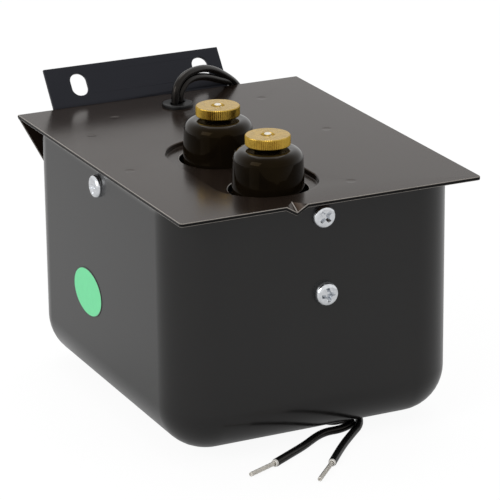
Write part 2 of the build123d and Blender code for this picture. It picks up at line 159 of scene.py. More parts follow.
tree.links.new(mixed.outputs[0], tree.nodes["Material Output"].inputs["Surface"])
floor = new_piece("table", bm, table_paper)

for name, power, size, spot, aim in (
    ("left_softbox", 9.0, 0.9, (-1.3, -0.5, 0.75), (0, 0, -0.04)),
    ("top_softbox", 8.0, 1.1, (0.2, 0.5, 1.5), (0, 0, -0.04)),
):
    lamp_data = bpy.data.lights.new(name, "AREA")
    lamp_data.energy = power
    lamp_data.size = size
    lamp = bpy.data.objects.new(name, lamp_data)
    lamp.rotation_euler = (Vector(aim) - Vector(spot)).to_track_quat("-Z", "Y").to_euler()
    lamp.location = spot
    bpy.context.collection.objects.link(lamp)

# Supply leads
# Two stranded copper leads in black flexible insulation. They come up through the grommet, bend
# over the cover's back edge beside the bracket, and pass under the can to the front, where each
# is stripped and its strands are twisted and tinned.
lead_d = 3.2 * mm
lead_z = floor_z + lead_d / 2
under = lead_z / mm
lead_1_route = [
    (-1.49, 61.58, 1.4),
    (-1.49, 61.58, 6.0),
    (0.6, 62.7, 9.6),
    (4.9, 65.0, 12.2),
    (12.8, 69.2, 12.6),
    (20.2, 73.4, 10.8),
    (28.6, 78.1, 6.0),
    (37.2, 83.3, -0.6),
    (42.0, 86.8, -8.5),
    (42.8, 87.8, -20.0),
    (41.0, 88.0, -41.0),
    (39.2, 87.2, -66.0),
    (37.6, 87.7, -90.6),
    (35.4, 77.6, under),
    (31.0, 50.0, under),
    (32.4, 16.0, under),
    (28.0, -16.0, under),
    (28.9, -42.0, under),
    (23.8, -57.7, under),
    (15.2, -66.0, under),
    (5.2, -76.2, under),
    (-4.4, -87.7, under),
]
lead_2_route = [
    (1.49, 63.22, 1.4),
    (1.49, 63.22, 4.2),
    (3.3, 64.2, 7.2),
    (6.8, 66.1, 9.3),
    (12.6, 69.3, 9.2),
    (19.4, 73.2, 7.2),
    (27.2, 77.4, 3.6),
    (34.4, 82.6, 1.0),
    (36.0, 86.3, -9.0),
    (36.6, 87.2, -24.0),
    (35.8, 86.6, -45.6),
    (33.2, 86.1, -69.0),
    (31.6, 86.8, -91.0),
    (28.8, 77.0, under),
    (13.6, 55.0, under),
    (-6.0, 30.0, under),
    (-14.6, 2.0, under),
    (-9.0, -17.0, under),
    (5.0, -28.5, under),
    (9.8, -42.0, under),
    (13.0, -51.5, under),
    (21.0, -50.8, under),
    (21.0, -56.4, under),
    (13.4, -59.7, under),
    (7.6, -59.3, under),
    (1.8, -61.8, under),
    (-6.8, -68.2, under),
    (-16.0, -73.5, under),
    (-24.0, -78.2, under),
]


def lead_insulation():
    """Flexible PVC, extruded: black, a little glossy, with a faint lengthwise grain and dull marks."""
    material, tree, shader = new_material("black_pvc_insulation")
    place = add_node(tree, "TexCoord")
    grain = add_node(tree, "TexNoise", {"Vector": place.outputs["Object"], "Scale": 900.0, "Detail": 3.0})
    marks = add_node(tree, "TexNoise", {"Vector": place.outputs["Object"], "Scale": 120.0, "Detail": 2.0})
    gloss = add_node(tree, "MapRange", {0: marks.outputs["Fac"], 3: 0.16, 4: 0.32})
    relief = add_node(tree, "Bump", {"Height": grain.outputs["Fac"], "Strength": 0.15, "Distance": 0.1 * mm})
    shader.inputs["Base Color"].default_value = linear("#0c0b0b")
    shader.inputs["Specular Tint"].default_value = linear("#b0a8a0")
    tree.links.new(gloss.outputs[0], shader.inputs["Roughness"])
    tree.links.new(relief.outputs["Normal"], shader.inputs["Normal"])
    return material


def tinned_copper():
    """Twisted copper strands dipped in solder: bright tin, duller and greyer between the strands."""
    material, tree, shader = new_material("tinned_copper_strands")
    place = add_node(tree, "TexCoord")
    dull = add_node(tree, "TexNoise", {"Vector": place.outputs["Object"], "Scale": 700.0, "Detail": 2.0})
    tone = add_node(tree, "ValToRGB", {0: dull.outputs["Fac"]})
    tone.color_ramp.elements[0].color = linear("#bdb8af")
    tone.color_ramp.elements[1].color = linear("#f4f1ea")
    gloss = add_node(tree, "MapRange", {0: dull.outputs["Fac"], 3: 0.42, 4: 0.28})
    tree.links.new(tone.outputs[0], shader.inputs["Base Color"])
    tree.links.new(gloss.outputs[0], shader.inputs["Roughness"])
    shader.inputs["Metallic"].default_value = 1.0
    return material


def inner_insulation():
    """The white inner layer of the insulation, cut square by the stripping tool: soft and dull."""
    material, tree, shader = new_material("white_inner_insulation")
    place = add_node(tree, "TexCoord")
    grain = add_node(tree, "TexNoise", {"Vector": place.outputs["Object"], "Scale": 1500.0})
    tone = add_node(tree, "ValToRGB", {0: grain.outputs["Fac"]})
    tone.color_ramp.elements[0].color = linear("#dedad2")
    tone.color_ramp.elements[1].color = linear("#f8f6f2")
    tree.links.new(tone.outputs[0], shader.inputs["Base Color"])
    shader.inputs["Roughness"].default_value = 0.55
    return material


def lead_curve(name, route, material):
    """A round lead along a smooth spline through the route's control points."""
    curve = bpy.data.curves.new(name, "CURVE")
    curve.dimensions = "3D"
    curve.bevel_depth = lead_d / 2
    curve.bevel_resolution = 7
    curve.resolution_u = 10
    curve.use_fill_caps = True
    spline = curve.splines.new("NURBS")
    spline.points.add(len(route) - 1)
    for point, (x, y, z) in zip(spline.points, route):
        point.co = (x * mm, y * mm, z * mm, 1)
    spline.order_u = 3
    spline.use_endpoint_u = True
    curve.materials.append(material)
    piece = bpy.data.objects.new(name, curve)
    bpy.context.collection.objects.link(piece)
    return piece


def end_frame(route, tip):
    """The place and turn of a lead's cut end, with Z along its strands."""
    last = Vector(route[-1]) * mm
    heading = Vector(tip) * mm - last
    return Matrix.Translation(last) @ heading.to_track_quat("Z", "Y").to_matrix().to_4x4()


def strand_bundle(bm, strip_length):
    """Eight strands twisted round one, along Z from just inside the insulation to the tip."""
    strand_r = 0.27 * mm
    length = strip_length + 1 * mm
    start = -1 * mm
    steps = 44
    for number in range(8):
        turn = Matrix.Rotation(number * pi / 4, 4, "Z")
        lay = turn @ Matrix.Translation((0.62 * mm, 0, start)) @ Matrix.Rotation(radians(14), 4, "X")
        ring = bmesh.ops.create_circle(bm, cap_ends=True, segments=7, radius=strand_r, matrix=lay)["verts"]
        faces = list({face for vert in ring for face in vert.link_faces})
        edges = list({edge for vert in ring for edge in vert.link_edges})
        bmesh.ops.spin(
            bm, geom=ring + edges + faces, cent=(0, 0, 0), axis=(0, 0, 1), angle=radians(330),
            dvec=(0, 0, length / steps), steps=steps, use_merge=False,
        )
    core = Matrix.Translation((0, 0, start + length / 2))
    bmesh.ops.create_cone(
        bm, cap_ends=True, segments=10, radius1=0.45 * mm, radius2=0.4 * mm, depth=length - 0.3 * mm,
        matrix=core,
    )
    bmesh.ops.recalc_face_normals(bm, faces=bm.faces)


insulation = lead_insulation()
tin = tinned_copper()
white_layer = inner_insulation()
for number, route, tip, length in (
    (1, lead_1_route, (-16.2, -100.2, under), 0.3441),
    (2, lead_2_route, (-37.6, -84.2, under), 0.3631),
):
    lead = lead_curve(f"supply_lead_{number}", route, insulation)
    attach(lead, "root")
    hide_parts(f"lead_{number}")

    bm = bmesh.new()
    strand_bundle(bm, (Vector(tip) - Vector(route[-1])).length * mm)
    bmesh.ops.transform(bm, verts=bm.verts, matrix=end_frame(route, tip))
    strands = new_piece(f"tinned_strands_{number}", bm, tin)
    strands.data.shade_smooth()
    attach(strands, "root")
    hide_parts(f"lead_end_{number}")

    bm = bmesh.new()
    collar_sides = 28
    inner_r = 0.95 * mm
    bmesh.ops.create_circle(bm, segments=collar_sides, radius=inner_r)
    for radius, height in ((1.42, 0.0), (1.42, -2.0)):
        rim = [edge for edge in bm.edges if edge.is_boundary or edge.is_wire]
        if len(rim) > collar_sides:
            rim = [e for e in rim if all(hypot(v.co.x, v.co.y) > 1.1 * mm for v in e.verts)]
        grown = bmesh.ops.extrude_edge_only(bm, edges=rim)["geom"]
        for vert in (item for item in grown if isinstance(item, bmesh.types.BMVert)):
            vert.co.xy *= radius * mm / hypot(vert.co.x, vert.co.y)
            vert.co.z = height * mm
    bmesh.ops.translate(bm, verts=bm.verts, vec=(0, 0, 0.9 * mm))
    bmesh.ops.transform(bm, verts=bm.verts, matrix=end_frame(route, tip))
    collar = new_piece(f"stripped_collar_{number}", bm, white_layer)
    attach(collar, "root")

# Can
# A deep cup drawn from one sheet of steel, with round corners, a rounder bottom edge and a rim
# that flares out a little under the cover. Black baking enamel, sprayed inside and out.
can_w = 122.4 * mm
can_d = 148.8 * mm
can_h = 100.3 * mm
can_y = 2.9 * mm
can_wall = 1.2 * mm
can_top = -1.5 * mm
can_corner_r = 20 * mm
can_bottom_r = 19 * mm
can_bottom = can_top - can_h
flare_h = 3.4 * mm
flare_out = 1.1 * mm


def black_enamel(name, colour, worn, gloss, peel, tint="#ffffff", ior=1.4):
    """Baking enamel on sheet steel: near black, satin, with the soft pebbled relief of a sprayed coat."""
    material, tree, shader = new_material(name)
    place = add_node(tree, "TexCoord")
    pebble = add_node(tree, "TexNoise", {"Vector": place.outputs["Object"], "Scale": 520.0, "Detail": 2.0})
    cloud = add_node(tree, "TexNoise", {"Vector": place.outputs["Object"], "Scale": 45.0, "Detail": 4.0})
    tone = add_node(tree, "ValToRGB", {0: cloud.outputs["Fac"]})
    tone.color_ramp.elements[0].color = linear(colour)
    tone.color_ramp.elements[1].color = linear(worn)
    rough = add_node(tree, "MapRange", {0: cloud.outputs["Fac"], 3: gloss - 0.03, 4: gloss + 0.03})
    relief = add_node(tree, "Bump", {"Height": pebble.outputs["Fac"], "Strength": peel, "Distance": 0.05 * mm})
    tree.links.new(tone.outputs[0], shader.inputs["Base Color"])
    tree.links.new(rough.outputs[0], shader.inputs["Roughness"])
    tree.links.new(relief.outputs["Normal"], shader.inputs["Normal"])
    shader.inputs["Specular Tint"].default_value = linear(tint)
    shader.inputs["IOR"].default_value = ior
    return material


def smooth_between(piece, angle):
    """Smooth shading, except where two faces meet at more than the angle, with flats kept flat."""
    piece.data.shade_smooth()
    piece.data.set_sharp_from_angle(angle=radians(angle))
    weighted = piece.modifiers.new("flat_faces", "WEIGHTED_NORMAL")
    weighted.keep_sharp = True


def sheet_wall(piece, thickness, edge):
    """Gives a surface its sheet thickness on the inside, and breaks the cut edges."""
    wall = piece.modifiers.new("sheet", "SOLIDIFY")
    wall.thickness = thickness
    wall.offset = -1
    wall.use_even_offset = True
    broken = piece.modifiers.new("broken_edges", "BEVEL")
    broken.width = edge
    broken.segments = 2
    broken.limit_method = "ANGLE"
    broken.angle_limit = radians(50)


def stands_for(piece, slot, *nodes):
    """A piece that rides on the one body and takes the place of CAD nodes."""
    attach(piece, "root")
    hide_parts(*nodes)


def round_edges(bm, edges, radius, segments):
    """Rounds edges to a radius."""
    bmesh.ops.bevel(
        bm, geom=edges, offset=radius, offset_type="OFFSET", segments=segments, profile=0.5, affect="EDGES",
        material=-1,
    )


bm = bmesh.new()
neck = can_top - flare_h
block = Matrix.Translation((0, can_y, (neck + can_bottom) / 2))
block = block @ Matrix.Diagonal((can_w, can_d, neck - can_bottom, 1))
bmesh.ops.create_cube(bm, size=1.0, matrix=block)
upright = [e for e in bm.edges if abs(e.verts[0].co.z - e.verts[1].co.z) > can_h / 2]
round_edges(bm, upright, can_corner_r, 14)
foot = [e for e in bm.edges if all(abs(v.co.z - can_bottom) < 0.01 * mm for v in e.verts)]
round_edges(bm, foot, can_bottom_r, 12)
lid = [f for f in bm.faces if all(abs(v.co.z - neck) < 0.01 * mm for v in f.verts)]
bmesh.ops.delete(bm, geom=lid, context="FACES_ONLY")
rim = [e for e in bm.edges if e.is_boundary]
flare_steps = 5
grown_by = 0.0
for step in range(1, flare_steps + 1):
    geom = bmesh.ops.extrude_edge_only(bm, edges=rim)["geom"]
    verts = [item for item in geom if isinstance(item, bmesh.types.BMVert)]
    rim = [item for item in geom if isinstance(item, bmesh.types.BMEdge)]
    out = flare_out * (step / flare_steps) ** 2
    scale_x = (can_w / 2 + out) / (can_w / 2 + grown_by)
    scale_y = (can_d / 2 + out) / (can_d / 2 + grown_by)
    bmesh.ops.translate(bm, verts=verts, vec=(0, 0, flare_h / flare_steps))
    bmesh.ops.scale(bm, verts=verts, vec=(scale_x, scale_y, 1), space=Matrix.Translation((0, -can_y, 0)))
    grown_by = out
bmesh.ops.recalc_face_normals(bm, faces=bm.faces)
can_enamel = black_enamel("black_can_enamel", "#151414", "#1a1918", 0.22, 0.25)
can = new_piece("drawn_can", bm, can_enamel)
sheet_wall(can, can_wall, 0.25 * mm)
smooth_between(can, 40)
stands_for(can, "can_paint", "can")

# Core and windings
# A window frame and a centre limb of varnished silicon-steel laminations, with a primary winding
# in the middle, a high-voltage winding at each end, and a magnetic shunt each side between them.


def dressed(material, *nodes):
    """Gives CAD nodes their finish."""
    for name in nodes:
        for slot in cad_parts[name].material_slots:
            slot.material = material


def varnished_laminations():
    """Stacked steel sheets, dipped in varnish: fine dark lines round the stack, amber-grey between."""
    material, tree, shader = new_material("varnished_steel_laminations")
    place = add_node(tree, "TexCoord")
    sheets = add_node(
        tree, "TexWave", {"Vector": place.outputs["Object"], "Scale": 314.0, "Distortion": 0.4},
        wave_type="BANDS", bands_direction="Z",
    )
    tone = add_node(tree, "ValToRGB", {0: sheets.outputs["Fac"]})
    tone.color_ramp.elements[0].color = linear("#2e2a26")
    tone.color_ramp.elements[1].color = linear("#8a8479")
    relief = add_node(tree, "Bump", {"Height": sheets.outputs["Fac"], "Strength": 0.6, "Distance": 0.05 * mm})
    tree.links.new(tone.outputs[0], shader.inputs["Base Color"])
    tree.links.new(relief.outputs["Normal"], shader.inputs["Normal"])
    shader.inputs["Metallic"].default_value = 0.7
    shader.inputs["Roughness"].default_value = 0.42
    return material


def winding_paper(name, colour, soaked):
    """Kraft insulating paper wound over the wire and soaked in varnish: brown, fibrous, in layers."""
    material, tree, shader = new_material(name)
    place = add_node(tree, "TexCoord")
    fibres = add_node(
        tree, "Mapping", {"Vector": place.outputs["Object"], "Scale": (400.0, 60.0, 400.0)}
    )
    fibres = add_node(tree, "TexNoise", {"Vector": fibres.outputs[0], "Scale": 1.0, "Detail": 5.0})
    layers = add_node(
        tree, "TexWave", {"Vector": place.outputs["Object"], "Scale": 95.0, "Distortion": 1.5},
        wave_type="BANDS", bands_direction="Y",
    )
    tone = add_node(tree, "ValToRGB", {0: fibres.outputs["Fac"]})
    tone.color_ramp.elements[0].color = linear(soaked)
    tone.color_ramp.elements[1].color = linear(colour)
    relief = add_node(tree, "Bump", {"Height": layers.outputs["Fac"], "Strength": 0.4, "Distance": 0.08 * mm})
    tree.links.new(tone.outputs[0], shader.inputs["Base Color"])
    tree.links.new(relief.outputs["Normal"], shader.inputs["Normal"])
    shader.inputs["Roughness"].default_value = 0.5
    return material


laminations = varnished_laminations()
dressed(laminations, "core_frame", "core_limb", "shunts")
dressed(winding_paper("fish_paper", "#6f7d84", "#4f5a60"), "limb_tube")
kraft = winding_paper("kraft_winding_paper", "#b08a58", "#7a5a34")
dressed(kraft, "primary_coil", "secondary_coil_front", "secondary_coil_back")

# Inner wires and compound
# Pale silicone-covered wires join the high-voltage windings to the terminal studs, and the supply
# leads go down to the primary. Asphalt compound with sand in it is poured round all of it.


def silicone_wire_cover():
    """Extruded silicone over the high-voltage wires: off-white, waxy, with a dusting of chalk."""
    material, tree, shader = new_material("silicone_wire_cover")
    place = add_node(tree, "TexCoord")
    chalk = add_node(tree, "TexNoise", {"Vector": place.outputs["Object"], "Scale": 350.0, "Detail": 3.0})
    tone = add_node(tree, "ValToRGB", {0: chalk.outputs["Fac"]})
    tone.color_ramp.elements[0].color = linear("#c9bda2")
    tone.color_ramp.elements[1].color = linear("#ddd4bf")
    tree.links.new(tone.outputs[0], shader.inputs["Base Color"])
    shader.inputs["Roughness"].default_value = 0.6
    return material


def asphalt_compound():
    """Poured asphalt with a sand filler: brown-black, uneven, dull with a few shiny pools."""
    material, tree, shader = new_material("asphalt_compound")
    place = add_node(tree, "TexCoord")
    sand = add_node(tree, "TexNoise", {"Vector": place.outputs["Object"], "Scale": 900.0, "Detail": 6.0})
    pools = add_node(tree, "TexNoise", {"Vector": place.outputs["Object"], "Scale": 60.0})
    tone = add_node(tree, "ValToRGB", {0: sand.outputs["Fac"]})
    tone.color_ramp.elements[0].color = linear("#0e0c0b")
    tone.color_ramp.elements[1].color = linear("#2a2521")
    gloss = add_node(tree, "MapRange", {0: pools.outputs["Fac"], 1: 0.35, 2: 0.65, 3: 0.3, 4: 0.75})
    relief = add_node(tree, "Bump", {"Height": sand.outputs["Fac"], "Strength": 0.5, "Distance": 0.2 * mm})
    tree.links.new(tone.outputs[0], shader.inputs["Base Color"])
    tree.links.new(gloss.outputs[0], shader.inputs["Roughness"])
    tree.links.new(relief.outputs["Normal"], shader.inputs["Normal"])
    return material


dressed(silicone_wire_cover(), "ht_leads")
dressed(insulation, "lead_tails")
dressed(asphalt_compound(), "potting_compound")

# Cover tabs and core clamps
# Angles of sheet steel: three under the cover, inside the can's wall, which the cover screws go
# into, and two that the lower screws pull down on the core. Their enamel is duller than the can's.
inner_enamel = black_enamel("black_bracket_enamel_inside", "#1a1919", "#201f1e", 0.38, 0.4)
dressed(
    inner_enamel, "cover_tab_front", "cover_tab_left", "cover_tab_right", "core_clamp_front", "core_clamp_back"
)

# Cover plate
# One blank of 1.5 mm sheet steel: a flange bent down at the back, a shallow dish drawn round the
# two terminals, and a small dart pressed into the front edge. Its spot welds leave faint marks. Its
# cut edges are coloured near black as painted shade, and their broken corners carry a painted
# highlight, a thin pale line.
plate_w = 127.0 * mm
plate_front = -81.0 * mm
plate_back = 81.0 * mm
plate_t = 1.5 * mm
bend_r = 1.0 * mm
flange_h = 22.0 * mm
dish_x = -13.0 * mm
dish_mid_y = -26.3 * mm
dish_pitch = 41.4 * mm
dart_x = -15.5 * mm
dart_half_w = 4.5 * mm
dart_run = 5.0 * mm
dart_depth = 2.8 * mm
porcelain_hole_r = 15.6 * mm
terminal_x = -13.0 * mm
terminal_y = (-50.7 * mm, -5.7 * mm)
weld_marks = ((-30.3, 58.1), (-48.5, 39.3), (-53.9, -12.0), (36.1, 56.6), (39.8, 3.5), (16.4, -62.8))


def edge_loop(verts):
    """The edges between the verts of a loop that has just been made."""
    return list({edge for vert in verts for edge in vert.link_edges})


def obround(bm, radius, height):
    """A loop of two half circles joined by straight sides, the dish's outline at one height."""
    segments = 64
    middle = Matrix.Translation((dish_x, dish_mid_y, height)) @ Matrix.Rotation(pi / segments, 4, "Z")
    verts = bmesh.ops.create_circle(bm, segments=segments, radius=radius, matrix=middle)["verts"]
    for side in (-1, 1):
        half = [v for v in verts if side * (v.co.y - dish_mid_y) > 0]
        bmesh.ops.translate(bm, verts=half, vec=(0, side * dish_pitch / 2, 0))
    return edge_loop(verts)


def round_loop(bm, radius, x, y, z, segments):
    """A level circle of edges."""
    middle = Matrix.Translation((x, y, z))
    verts = bmesh.ops.create_circle(bm, segments=segments, radius=radius, matrix=middle)["verts"]
    return edge_loop(verts)


bm = bmesh.new()
bend_y = plate_back - bend_r
back_grown = 1.014
blank = Matrix.Translation((0, (plate_front + bend_y) / 2, 0))
blank = blank @ Matrix.Diagonal((plate_w, bend_y - plate_front, 1, 1))
bmesh.ops.create_grid(bm, x_segments=1, y_segments=1, size=0.5, matrix=blank)
corners = [v for v in bm.verts if v.co.y < 0]
for vert in set(bm.verts) - set(corners):
    vert.co.x *= back_grown
bmesh.ops.bevel(
    bm, geom=corners, offset=1.5 * mm, offset_type="OFFSET", segments=4, profile=0.5, affect="VERTICES",
    material=-1,
)
bmesh.ops.delete(bm, geom=list(bm.faces), context="FACES_ONLY")
front = [e for e in bm.edges if all(abs(v.co.y - plate_front) < 0.01 * mm for v in e.verts)]
parted = bmesh.ops.subdivide_edges(bm, edges=front, cuts=3)["geom_inner"]
dart = sorted((item for item in parted if isinstance(item, bmesh.types.BMVert)), key=lambda vert: vert.co.x)
dart[0].co.x = dart_x - dart_half_w
dart[1].co.xy = (dart_x, plate_front + dart_run)
dart[2].co.x = dart_x + dart_half_w
outline = list(bm.edges)
tip = bmesh.ops.create_vert(bm, co=(dart_x, plate_front, -dart_depth))["vert"][0]
rolls = ((21.6, 0), (21.25, -0.1), (21.0, -0.35), (20.9, -0.7), (20.9, -1.5), (20.7, -2.0), (20.2, -2.2))
dish = [obround(bm, radius * mm, height * mm) for radius, height in rolls]
for upper, lower in zip(dish, dish[1:]):
    bmesh.ops.bridge_loops(bm, edges=upper + lower)
holes = [round_loop(bm, porcelain_hole_r, terminal_x, y, -2.2 * mm, 64) for y in terminal_y]
bmesh.ops.triangle_fill(bm, use_beauty=True, edges=dish[-1] + holes[0] + holes[1], normal=(0, 0, 1))
outline += dish[0] + round_loop(bm, 5.0 * mm, 0, 62.4 * mm, 0, 32)
weld_profile = ((2.3, 0), (1.9, -0.1), (0.9, -0.14))
for x, y in weld_marks:
    rings = [round_loop(bm, r * mm, x * mm, y * mm, depth * mm, 20) for r, depth in weld_profile]
    bmesh.ops.bridge_loops(bm, edges=rings[0] + rings[1])
    bmesh.ops.bridge_loops(bm, edges=rings[1] + rings[2])
    bmesh.ops.contextual_create(bm, geom=rings[2])
    outline += rings[0]
bmesh.ops.triangle_fill(bm, use_beauty=True, edges=outline, normal=(0, 0, 1))
for edge_vert in (dart[0], dart[2]):
    bmesh.ops.contextual_create(bm, geom=[edge_vert, dart[1], tip])
close = 0.01 * mm
hem = [e for e in bm.edges if all(abs(v.co.y - bend_y) < close and abs(v.co.z) < close for v in e.verts)]
bend = bmesh.ops.spin(
    bm, geom=hem + list({v for e in hem for v in e.verts}), cent=(0, bend_y, -bend_r), axis=(1, 0, 0),
    angle=-pi / 2, steps=6, use_merge=False,
)["geom_last"]
bend_edges = [item for item in bend if isinstance(item, bmesh.types.BMEdge)]
geom = bmesh.ops.extrude_edge_only(bm, edges=bend_edges)["geom"]
skirt = [item for item in geom if isinstance(item, bmesh.types.BMVert)]
bmesh.ops.translate(bm, verts=skirt, vec=(0, 0, bend_r - flange_h))
slant = 1 - (flange_h - plate_t) * tan(radians(28)) / (plate_w / 2)
bmesh.ops.scale(bm, verts=skirt, vec=(slant, 1, 1))
bmesh.ops.recalc_face_normals(bm, faces=bm.faces)
if sum(face.normal.z * face.calc_area() for face in bm.faces) < 0:
    bmesh.ops.reverse_faces(bm, faces=bm.faces)
cover_enamel = black_enamel("black_cover_enamel", "#1b1511", "#201915", 0.2, 0.3, tint="#ffd4b0", ior=1.28)
cover = new_piece("cover_sheet", bm, cover_enamel)
# Painted shade: the cut edges of the sheet are coloured near black.
cover.data.materials.append(black_enamel("painted_shade_cut_edge", "#070707", "#0b0b0b", 0.4, 0.2, ior=1.2))
# Painted highlight: the broken corners of the edges are coloured as a thin pale line.
cover.data.materials.append(black_enamel("painted_highlight_edge", "#726c66", "#948d86", 0.3, 0.2, ior=1.5))
sheet_wall(cover, plate_t, 0.25 * mm)
cover.modifiers["sheet"].material_offset_rim = 1
cover.modifiers["broken_edges"].material = 2
cover.modifiers["broken_edges"].use_clamp_overlap = False
smooth_between(cover, 22)
stands_for(cover, "cover_paint", "cover_plate")

# Mounting bracket
# A strip of 1.5 mm steel spot-welded to the cover's rear flange. Its upper leg leans back 37
# degrees and has two slots for the burner's screws. It has the cover's enamel, a little bluer.
bracket_x0 = -48.0 * mm
bracket_x1 = 32.0 * mm
bracket_t = 1.5 * mm
leg_down = 16.0 * mm
leg_up = 18.0 * mm
lean = radians(37)
bracket_bend = 3.5 * mm
slot_middles = (-34.0 * mm, 22.0 * mm)
slot_up = 9.5 * mm
slot_r = 3.6 * mm
slot_half_straight = 1.5 * mm

bm = bmesh.new()
tangent = bracket_bend * tan(lean / 2)
ends = [bm.verts.new((x, plate_back, -leg_down)) for x in (bracket_x0, bracket_x1)]
low_edge = bm.edges.new(ends)
geom = bmesh.ops.extrude_edge_only(bm, edges=[low_edge])["geom"]
top_verts = [item for item in geom if isinstance(item, bmesh.types.BMVert)]
new_edges = [item for item in geom if isinstance(item, bmesh.types.BMEdge)]
top_edges = [edge for edge in new_edges if set(edge.verts) == set(top_verts)]
bmesh.ops.translate(bm, verts=top_verts, vec=(0, 0, leg_down - tangent))
bmesh.ops.spin(
    bm, geom=top_verts + top_edges, cent=(0, plate_back + bracket_bend, -tangent), axis=(1, 0, 0),
    angle=-lean, steps=6, use_merge=False,
)
leg = bmesh.new()
width = bracket_x1 - bracket_x0
panel = Matrix.Translation(((bracket_x0 + bracket_x1) / 2, (tangent + leg_up) / 2, 0))
panel = panel @ Matrix.Diagonal((width, leg_up - tangent, 1, 1))
bmesh.ops.create_grid(leg, x_segments=1, y_segments=1, size=0.5, matrix=panel)
bmesh.ops.delete(leg, geom=list(leg.faces), context="FACES_ONLY")
for x in slot_middles:
    turned = Matrix.Translation((x, slot_up, 0)) @ Matrix.Rotation(pi / 32, 4, "Z")
    verts = bmesh.ops.create_circle(leg, segments=32, radius=slot_r, matrix=turned)["verts"]
    for side in (-1, 1):
        half = [v for v in verts if side * (v.co.y - slot_up) > 0]
        bmesh.ops.translate(leg, verts=half, vec=(0, side * slot_half_straight, 0))
bmesh.ops.triangle_fill(leg, use_beauty=True, edges=leg.edges, normal=(0, 0, 1))
tilt = Matrix.Translation((0, plate_back, 0)) @ Matrix.Rotation(pi / 2 - lean, 4, "X")
bmesh.ops.transform(leg, verts=leg.verts, matrix=tilt)
leg_mesh = bpy.data.meshes.new("bracket_leg")
leg.to_mesh(leg_mesh)
leg.free()
bm.from_mesh(leg_mesh)
bpy.data.meshes.remove(leg_mesh)
bmesh.ops.remove_doubles(bm, verts=bm.verts, dist=0.02 * mm)
bmesh.ops.recalc_face_normals(bm, faces=bm.faces)
if sum(face.normal.y * face.calc_area() for face in bm.faces) > 0:
    bmesh.ops.reverse_faces(bm, faces=bm.faces)
bracket_enamel = black_enamel(
    "black_bracket_enamel", "#0e0f12", "#131418", 0.36, 0.45, tint="#eceeff", ior=1.33
)
bracket = new_piece("slotted_bracket", bm, bracket_enamel)
sheet_wall(bracket, bracket_t, 0.25 * mm)
smooth_between(bracket, 40)
stands_for(bracket, "bracket_paint", "mount_bracket")

# Porcelain bushings
# Turned electrical porcelain, dark brown glaze fired on: a round shoulder, a small boss for the
# nut to seat on, and a bore for the stud. They stand through the holes in the cover's dish.


def brown_glaze():
    """Fired glaze on porcelain: deep brown to black, mirror-glossy, a little uneven where it ran."""
    material, tree, shader = new_material("brown_porcelain_glaze")
    place = add_node(tree, "TexCoord")
    pool = add_node(tree, "TexNoise", {"Vector": place.outputs["Object"], "Scale": 85.0, "Detail": 2.0})
    waves = add_node(tree, "TexNoise", {"Vector": place.outputs["Object"], "Scale": 160.0, "Detail": 1.0})
    tone = add_node(tree, "ValToRGB", {0: pool.outputs["Fac"]})
    tone.color_ramp.elements[0].color = linear("#060504")
    tone.color_ramp.elements[1].color = linear("#1c150b")
    relief = add_node(tree, "Bump", {"Height": waves.outputs["Fac"], "Strength": 0.5, "Distance": 0.25 * mm})
    tree.links.new(tone.outputs[0], shader.inputs["Base Color"])
    tree.links.new(relief.outputs["Normal"], shader.inputs["Normal"])
    shader.inputs["Roughness"].default_value = 0.06
    shader.inputs["Specular Tint"].default_value = linear("#5e503a")
    return material


def turned_outline(bm, outline, x, y, steps):
    """Spins a closed outline of radius and height in millimetres round an upright axis."""
    verts = [bm.verts.new((x + radius * mm, y, height * mm)) for radius, height in outline]
    edges = [bm.edges.new(pair) for pair in zip(verts, verts[1:] + verts[:1])]
    bmesh.ops.spin(
        bm, geom=verts + edges, cent=(x, y, 0), axis=(0, 0, 1), angle=2 * pi, steps=steps, use_merge=True
    )
    bmesh.ops.remove_doubles(bm, verts=bm.verts, dist=0.001 * mm)
    bmesh.ops.recalc_face_normals(bm, faces=bm.faces)


def ring_edges(bm, x, y, radius, height):
    """The edges of one ring of a turned piece."""
    close = 0.02 * mm
    ring = {
        vert for vert in bm.verts
        if abs(hypot(vert.co.x - x, vert.co.y - y) - radius * mm) < close
        and abs(vert.co.z - height * mm) < close
    }
    return [edge for edge in bm.edges if all(vert in ring for vert in edge.verts)]


glaze = brown_glaze()
for place, y in zip(("front", "back"), terminal_y):
    bm = bmesh.new()
    profile = [
        (1.95, -24), (14, -24), (14, -2.2), (13.6, 14), (5.9, 14), (5.3, 14.5), (5.3, 15.3), (1.95, 15.3),
    ]
    turned_outline(bm, profile, terminal_x, y, 72)
    shoulder = ring_edges(bm, terminal_x, y, 13.6, 14)
    round_edges(bm, shoulder, 4.2 * mm, 10)
    boss = ring_edges(bm, terminal_x, y, 5.3, 15.3) + ring_edges(bm, terminal_x, y, 5.9, 14)
    round_edges(bm, boss, 0.3 * mm, 3)
    bushing = new_piece(f"porcelain_bushing_{place}", bm, glaze)
    smooth_between(bushing, 40)
    stands_for(bushing, "porcelain", f"bushing_{place}")

# Terminal studs
# Number 6 threaded rod, nickel plated. A hexagon nut under the porcelain holds each one, and its
# tip shows bright in the thumb nut's countersink.
stud_top = 19.9
stud_bottom = -29.0
thread_pitch = 0.79


def nickel_plate():
    """Bright nickel on turned steel: warm silver, with fine turning marks round the axis."""
    material, tree, shader = new_material("bright_nickel_plate")
    place = add_node(tree, "TexCoord")
    marks = add_node(tree, "Mapping", {"Vector": place.outputs["Object"], "Scale": (300.0, 300.0, 4000.0)})
    marks = add_node(tree, "TexNoise", {"Vector": marks.outputs[0], "Scale": 1.0, "Detail": 2.0})
    gloss = add_node(tree, "MapRange", {0: marks.outputs["Fac"], 3: 0.14, 4: 0.28})
    shader.inputs["Base Color"].default_value = linear("#dedad0")
    shader.inputs["Metallic"].default_value = 1.0
    tree.links.new(gloss.outputs[0], shader.inputs["Roughness"])
    return material


